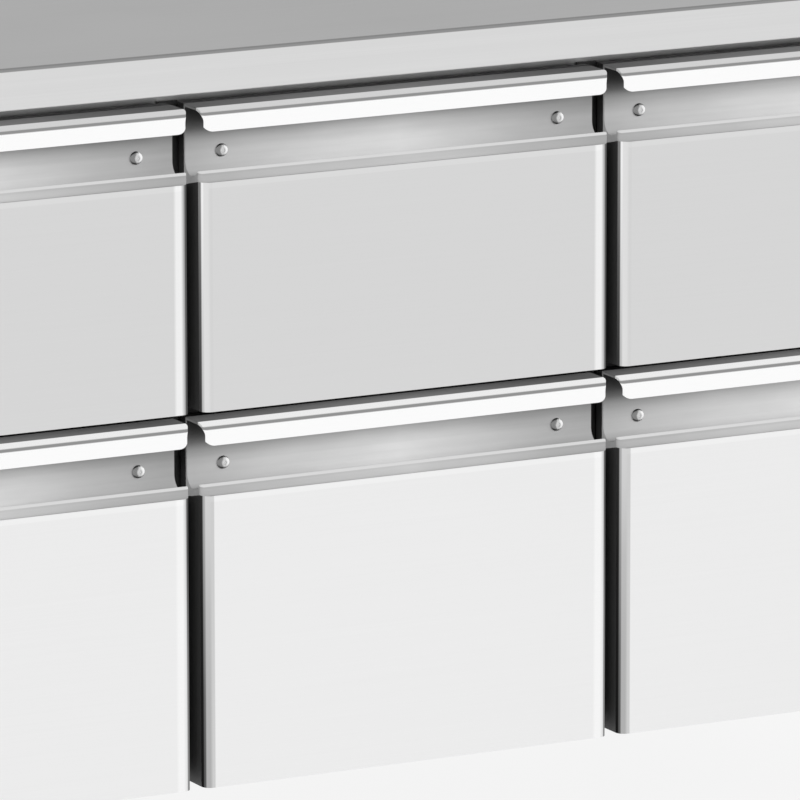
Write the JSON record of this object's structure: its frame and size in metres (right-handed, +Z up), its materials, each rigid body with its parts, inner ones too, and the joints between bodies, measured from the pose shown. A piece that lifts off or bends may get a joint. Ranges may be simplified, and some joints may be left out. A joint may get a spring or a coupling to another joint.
{
  "type": "undercounter drawer refrigerator",
  "caption": "Steel refrigerated counter: banks of two drawers with full-width lip handles under a flat worktop, a service end with louvred panel, on legs.",
  "frame": {"origin": "on the floor, under the middle of the worktop", "axes": "+Z up, +X along the counter from the service end, -Y towards the user"},
  "size_m": [1.81, 0.7, 0.865],
  "materials": {
    "worktop_steel": "fine brushed along the length",
    "casing_steel": "satin",
    "front_steel": "fine brushed, light grey",
    "handle_steel": "polished lip, satin recess",
    "liner_steel": "smooth",
    "box_steel": "satin",
    "slide_steel": "zinc plated",
    "leg_steel": "satin",
    "galvanised": "galvanised",
    "dark_metal": "dark coated",
    "black_paint": "semi-gloss black",
    "fin_aluminium": "bare",
    "copper": "copper tube",
    "black_plastic": "matt black",
    "dark_plastic": "satin dark",
    "key_plastic": "light grey",
    "gasket_rubber": "soft dark profile",
    "core_board": "raw board",
    "foam": "rigid foam"
  },
  "bodies": {
    "cabinet": {"worktop": "worktop_steel", "worktop_core": "core_board", "back_panel": "casing_steel", "end_panels": "casing_steel", "base_panel": "galvanised", "cabinet_insulation": "foam", "inner_liner": "liner_steel", "front_frame": "casing_steel", "mullion_caps": "black_plastic", "runner_uprights": "galvanised", "fixed_runners": "slide_steel", "legs": "leg_steel", "levelling_feet": "leg_steel", "service_panel": "front_steel", "controller": "dark_plastic", "compressor": "black_paint", "condenser": "dark_metal", "evaporator": "fin_aluminium", "evaporator_cover": "liner_steel", "refrigerant_pipes": "copper"},
    "condenser_fan": {"condenser_fan": "black_plastic"},
    "evaporator_fan": {"evaporator_fan": "black_plastic"},
    "key_up": {"key_up": "key_plastic"},
    "key_down": {"key_down": "key_plastic"},
    "lower_1_drawer": {"lower_1_front_skin": "front_steel", "lower_1_handle_rail": "handle_steel", "lower_1_front_core": "black_plastic", "lower_1_gasket": "gasket_rubber", "lower_1_drawer_box": "box_steel"},
    "lower_1_slides": {"lower_1_middle_slides": "slide_steel"},
    "upper_1_drawer": {"upper_1_front_skin": "front_steel", "upper_1_handle_rail": "handle_steel", "upper_1_front_core": "black_plastic", "upper_1_gasket": "gasket_rubber", "upper_1_drawer_box": "box_steel"},
    "upper_1_slides": {"upper_1_middle_slides": "slide_steel"},
    "lower_2_drawer": {"lower_2_front_skin": "front_steel", "lower_2_handle_rail": "handle_steel", "lower_2_front_core": "black_plastic", "lower_2_gasket": "gasket_rubber", "lower_2_drawer_box": "box_steel"},
    "lower_2_slides": {"lower_2_middle_slides": "slide_steel"},
    "upper_2_drawer": {"upper_2_front_skin": "front_steel", "upper_2_handle_rail": "handle_steel", "upper_2_front_core": "black_plastic", "upper_2_gasket": "gasket_rubber", "upper_2_drawer_box": "box_steel"},
    "upper_2_slides": {"upper_2_middle_slides": "slide_steel"},
    "lower_3_drawer": {"lower_3_front_skin": "front_steel", "lower_3_handle_rail": "handle_steel", "lower_3_front_core": "black_plastic", "lower_3_gasket": "gasket_rubber", "lower_3_drawer_box": "box_steel"},
    "lower_3_slides": {"lower_3_middle_slides": "slide_steel"},
    "upper_3_drawer": {"upper_3_front_skin": "front_steel", "upper_3_handle_rail": "handle_steel", "upper_3_front_core": "black_plastic", "upper_3_gasket": "gasket_rubber", "upper_3_drawer_box": "box_steel"},
    "upper_3_slides": {"upper_3_middle_slides": "slide_steel"}
  },
  "joints": [
    {"name": "lower_1_drawer_slide", "type": "slide", "parent": "cabinet", "child": "lower_1_drawer", "axis": [0, -1, 0], "range_m": [0, 0.5]},
    {"name": "lower_1_middle_slide", "type": "slide", "parent": "cabinet", "child": "lower_1_slides", "axis": [0, -1, 0], "range_m": [0, 0.25]},
    {"name": "upper_1_drawer_slide", "type": "slide", "parent": "cabinet", "child": "upper_1_drawer", "axis": [0, -1, 0], "range_m": [0, 0.5]},
    {"name": "upper_1_middle_slide", "type": "slide", "parent": "cabinet", "child": "upper_1_slides", "axis": [0, -1, 0], "range_m": [0, 0.25]},
    {"name": "lower_2_drawer_slide", "type": "slide", "parent": "cabinet", "child": "lower_2_drawer", "axis": [0, -1, 0], "range_m": [0, 0.5]},
    {"name": "lower_2_middle_slide", "type": "slide", "parent": "cabinet", "child": "lower_2_slides", "axis": [0, -1, 0], "range_m": [0, 0.25]},
    {"name": "upper_2_drawer_slide", "type": "slide", "parent": "cabinet", "child": "upper_2_drawer", "axis": [0, -1, 0], "range_m": [0, 0.5]},
    {"name": "upper_2_middle_slide", "type": "slide", "parent": "cabinet", "child": "upper_2_slides", "axis": [0, -1, 0], "range_m": [0, 0.25]},
    {"name": "lower_3_drawer_slide", "type": "slide", "parent": "cabinet", "child": "lower_3_drawer", "axis": [0, -1, 0], "range_m": [0, 0.5]},
    {"name": "lower_3_middle_slide", "type": "slide", "parent": "cabinet", "child": "lower_3_slides", "axis": [0, -1, 0], "range_m": [0, 0.25]},
    {"name": "upper_3_drawer_slide", "type": "slide", "parent": "cabinet", "child": "upper_3_drawer", "axis": [0, -1, 0], "range_m": [0, 0.5]},
    {"name": "upper_3_middle_slide", "type": "slide", "parent": "cabinet", "child": "upper_3_slides", "axis": [0, -1, 0], "range_m": [0, 0.25]},
    {"name": "condenser_fan_spin", "type": "hinge", "parent": "cabinet", "child": "condenser_fan", "pos_m": [-0.7475, -0.176, 0.289], "axis": [0, 1, 0], "continuous": true},
    {"name": "evaporator_fan_spin", "type": "hinge", "parent": "cabinet", "child": "evaporator_fan", "pos_m": [-0.476, -0.116, 0.5515], "axis": [1, 0, 0], "continuous": true},
    {"name": "key_up_press", "type": "slide", "parent": "cabinet", "child": "key_up", "axis": [0, 1, 0], "range_m": [0, 0.0012], "stiffness_N_per_m": 800, "springref_m": -0.0006},
    {"name": "key_down_press", "type": "slide", "parent": "cabinet", "child": "key_down", "axis": [0, 1, 0], "range_m": [0, 0.0012], "stiffness_N_per_m": 800, "springref_m": -0.0006}
  ],
  "couplings": [
    {"joint": "lower_1_middle_slide", "follows": "lower_1_drawer_slide", "ratio": 0.5},
    {"joint": "upper_1_middle_slide", "follows": "upper_1_drawer_slide", "ratio": 0.5},
    {"joint": "lower_2_middle_slide", "follows": "lower_2_drawer_slide", "ratio": 0.5},
    {"joint": "upper_2_middle_slide", "follows": "upper_2_drawer_slide", "ratio": 0.5},
    {"joint": "lower_3_middle_slide", "follows": "lower_3_drawer_slide", "ratio": 0.5},
    {"joint": "upper_3_middle_slide", "follows": "upper_3_drawer_slide", "ratio": 0.5}
  ]
}
